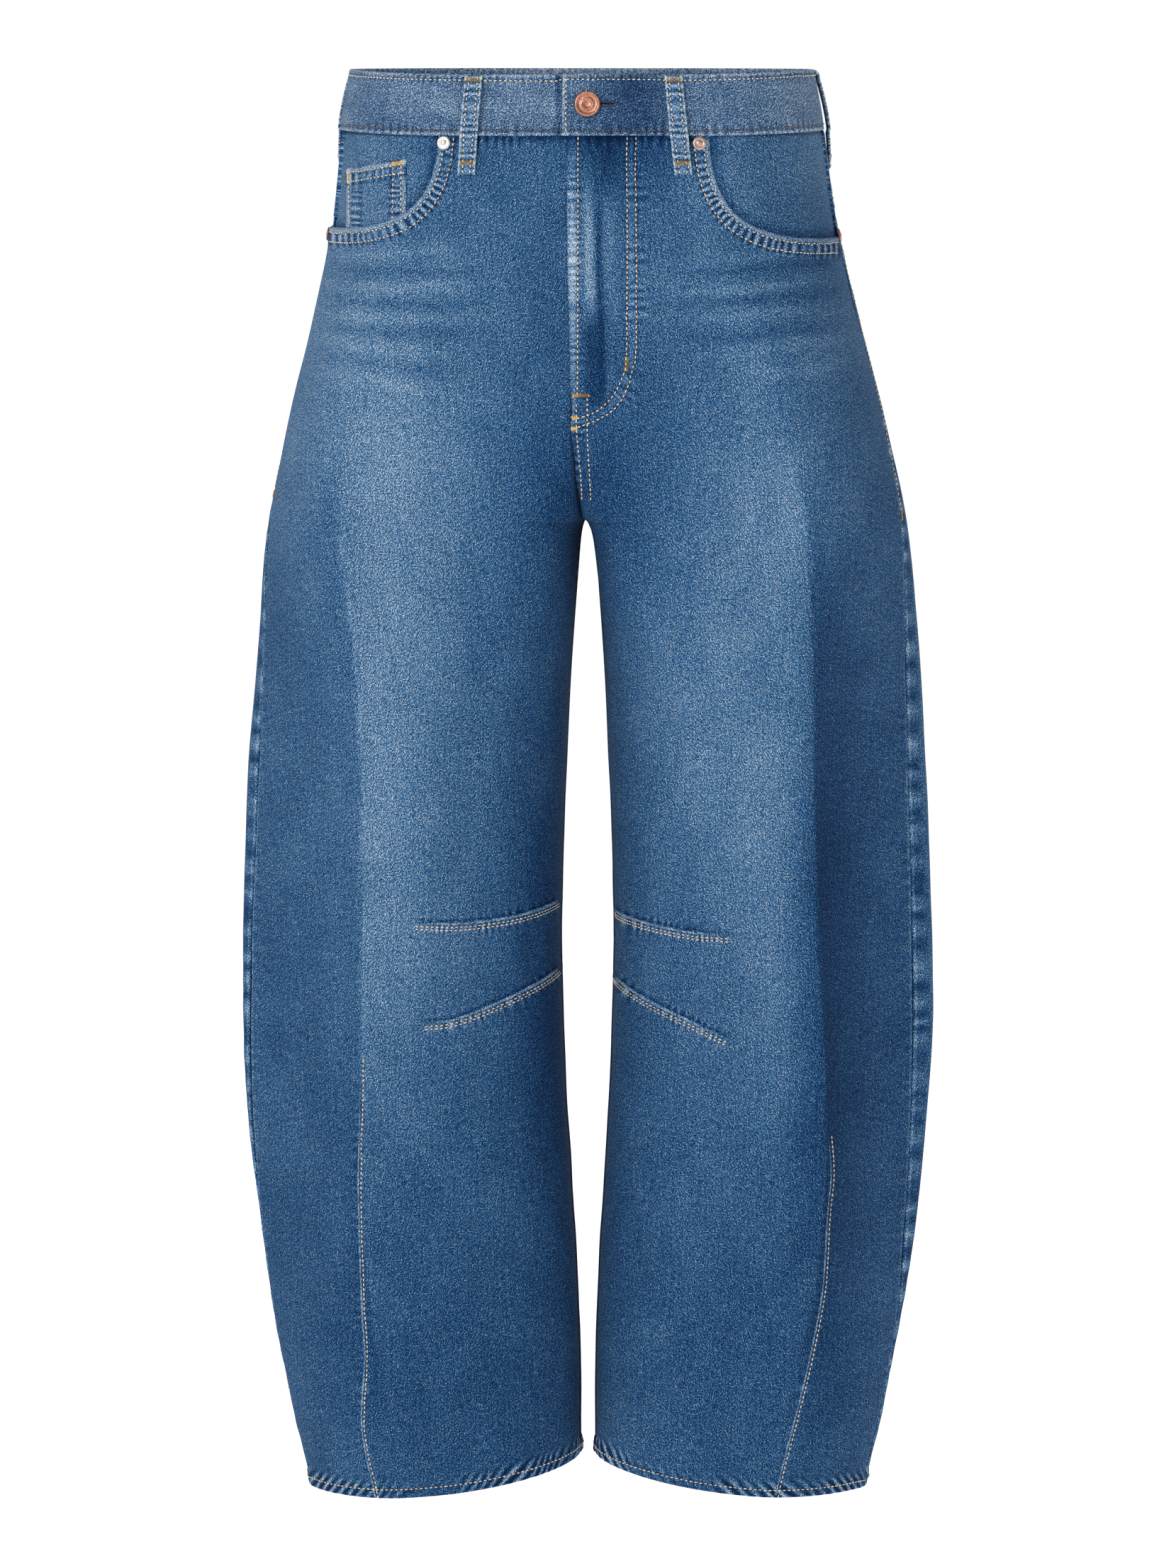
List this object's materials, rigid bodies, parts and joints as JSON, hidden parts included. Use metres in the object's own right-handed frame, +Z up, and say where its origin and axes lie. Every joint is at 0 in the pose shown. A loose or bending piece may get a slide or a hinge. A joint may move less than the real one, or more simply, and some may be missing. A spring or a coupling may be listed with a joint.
{
  "type": "wide-leg jeans",
  "caption": "Wide barrel-leg jeans in faded blue denim, worn shape, hollow, with a buttoned waistband and curved knee darts.",
  "frame": {"origin": "middle of the waist opening, level with the top edge of the waistband", "axes": "+Z up the body, from the hems to the waist; the front faces -Y; the wearer's left is +X"},
  "size_m": [0.4754, 0.2561, 0.9795],
  "materials": {
    "denim": "faded cotton twill, matte, with tan topstitching",
    "copper": "worn copper plate, satin",
    "nickel": "worn nickel plate, satin",
    "tape": "dark woven zip tape"
  },
  "bodies": {
    "root": {"back_left": "denim", "back_pocket_left": "denim", "back_pocket_right": "denim", "back_right": "denim", "belt_loop_back": "denim", "belt_loop_front_left": "denim", "belt_loop_front_right": "denim", "belt_loop_side_left": "denim", "belt_loop_side_right": "denim", "button": "copper", "coin_pocket": "denim", "fly_shield": "denim", "front_left": "denim", "front_right": "denim", "hem_dart_left": "denim", "hem_dart_right": "denim", "knee_dart_lower_left": "denim", "knee_dart_lower_right": "denim", "knee_dart_upper_left": "denim", "knee_dart_upper_right": "denim", "pocket_facing_left": "denim", "pocket_facing_right": "denim", "rivet_inner_left": "nickel", "rivet_inner_right": "nickel", "rivet_side_left": "copper", "rivet_side_right": "copper", "waistband": "denim", "yoke_left": "denim", "yoke_right": "denim", "zip": "tape"}
  },
  "joints": []
}
